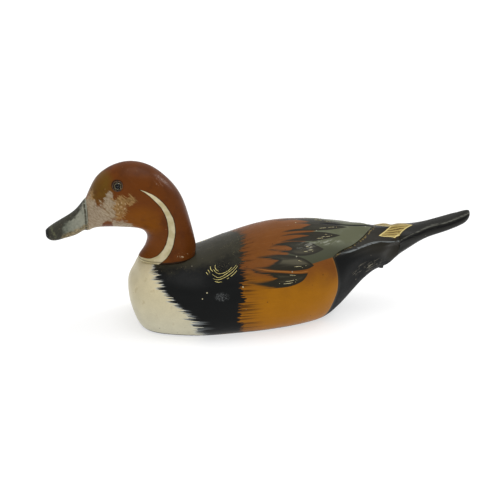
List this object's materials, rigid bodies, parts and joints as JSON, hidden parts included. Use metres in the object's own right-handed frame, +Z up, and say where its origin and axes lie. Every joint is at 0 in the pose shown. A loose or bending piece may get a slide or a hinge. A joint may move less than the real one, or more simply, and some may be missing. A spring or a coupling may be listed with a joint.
{
  "type": "floating duck decoy",
  "caption": "Hollow carved wooden pintail drake decoy with painted plumage, glass eyes, raised tail, lead ballast and a ring-and-staple line tie.",
  "frame": {"origin": "on the flat bottom, under the middle of the whole bird's bounding box", "axes": "+Z up, -X towards the bill, +X towards the tail, -Y the duck's left side"},
  "size_m": [0.4506, 0.141, 0.1754],
  "materials": {
    "painted_body": "oil paint in black, cream, rust and gold with a satin varnish, worn and scuffed",
    "painted_head": "chestnut oil paint with a satin varnish, worn to pale primer round the bill",
    "painted_bill": "dark grey oil paint worn to pale blue-grey and bare wood",
    "painted_tail": "black oil paint with a satin varnish",
    "bare_wood": "bare hardwood dowel",
    "brass_screw": "tarnished brass",
    "steel_hardware": "plain steel",
    "painted_pin": "steel nail painted over in black",
    "eye_glass": "clear cast glass",
    "eye_pupil": "black glass",
    "eye_putty": "hardened putty painted with the head",
    "lead": "dull oxidised lead",
    "iron_tie": "dark oxidised iron wire"
  },
  "bodies": {
    "decoy": {"body": "painted_body", "bottom_board": "painted_body", "head": "painted_head", "bill": "painted_bill", "tail": "painted_tail", "neck_dowels": "bare_wood", "bill_dowel": "bare_wood", "bottom_board_screws": "brass_screw", "ballast_screws": "brass_screw", "neck_screw": "steel_hardware", "neck_screw_washer": "steel_hardware", "tail_pin": "painted_pin", "eye_glass_left": "eye_glass", "eye_glass_right": "eye_glass", "eye_pupil_left": "eye_pupil", "eye_pupil_right": "eye_pupil", "eye_putty_left": "eye_putty", "eye_putty_right": "eye_putty", "eye_wire_left": "steel_hardware", "eye_wire_right": "steel_hardware", "ballast_weight": "lead", "line_tie_staple": "iron_tie"},
    "tie_ring": {"line_tie_ring": "iron_tie"}
  },
  "joints": [
    {"name": "tie_ring_swing", "type": "hinge", "parent": "decoy", "child": "tie_ring", "pos_m": [-0.1135, 0, 0.00455], "axis": [1, 0, 0], "range_deg": [0, 158]}
  ]
}
